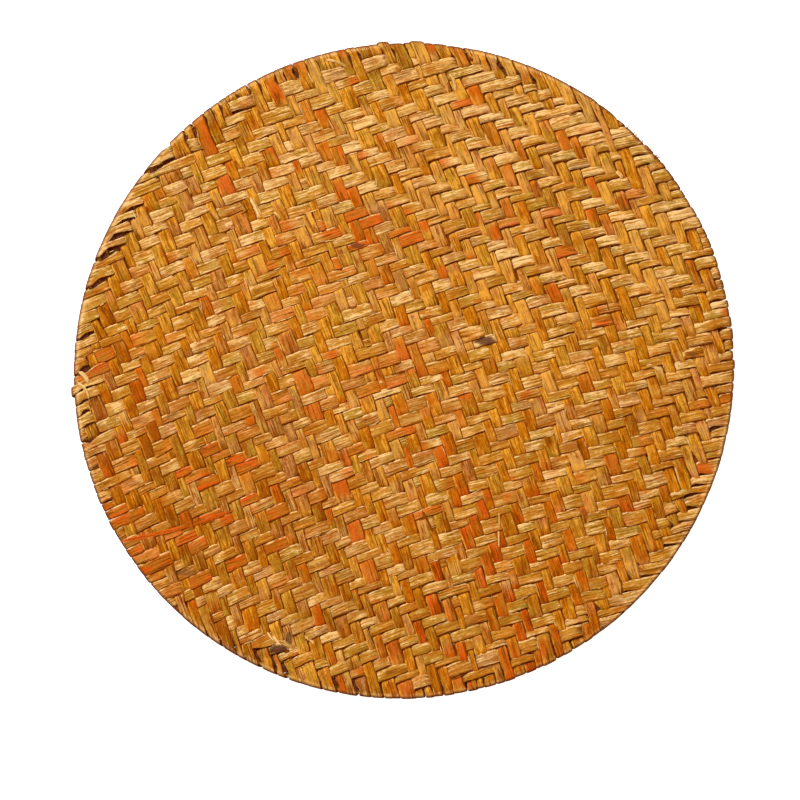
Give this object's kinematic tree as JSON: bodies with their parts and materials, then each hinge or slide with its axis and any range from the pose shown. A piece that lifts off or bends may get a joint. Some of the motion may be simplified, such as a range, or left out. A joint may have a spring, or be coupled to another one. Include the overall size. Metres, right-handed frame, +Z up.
{
  "type": "round woven water hyacinth placemat",
  "caption": "Round flat placemat plaited from flattened water hyacinth strips in a diamond twill, with the strip ends turned under at the rim.",
  "frame": {"origin": "middle of the underside, on the surface the mat lies on", "axes": "+Z up out of the woven face; the weft strips run about 18 degrees round from +X towards +Y, the warp strips about 110 degrees"},
  "size_m": [0.383, 0.3796, 0.0045],
  "materials": {
    "straw": "dry plaited straw with a faint satin"
  },
  "bodies": {
    "root": {"mat": "straw"}
  },
  "joints": []
}
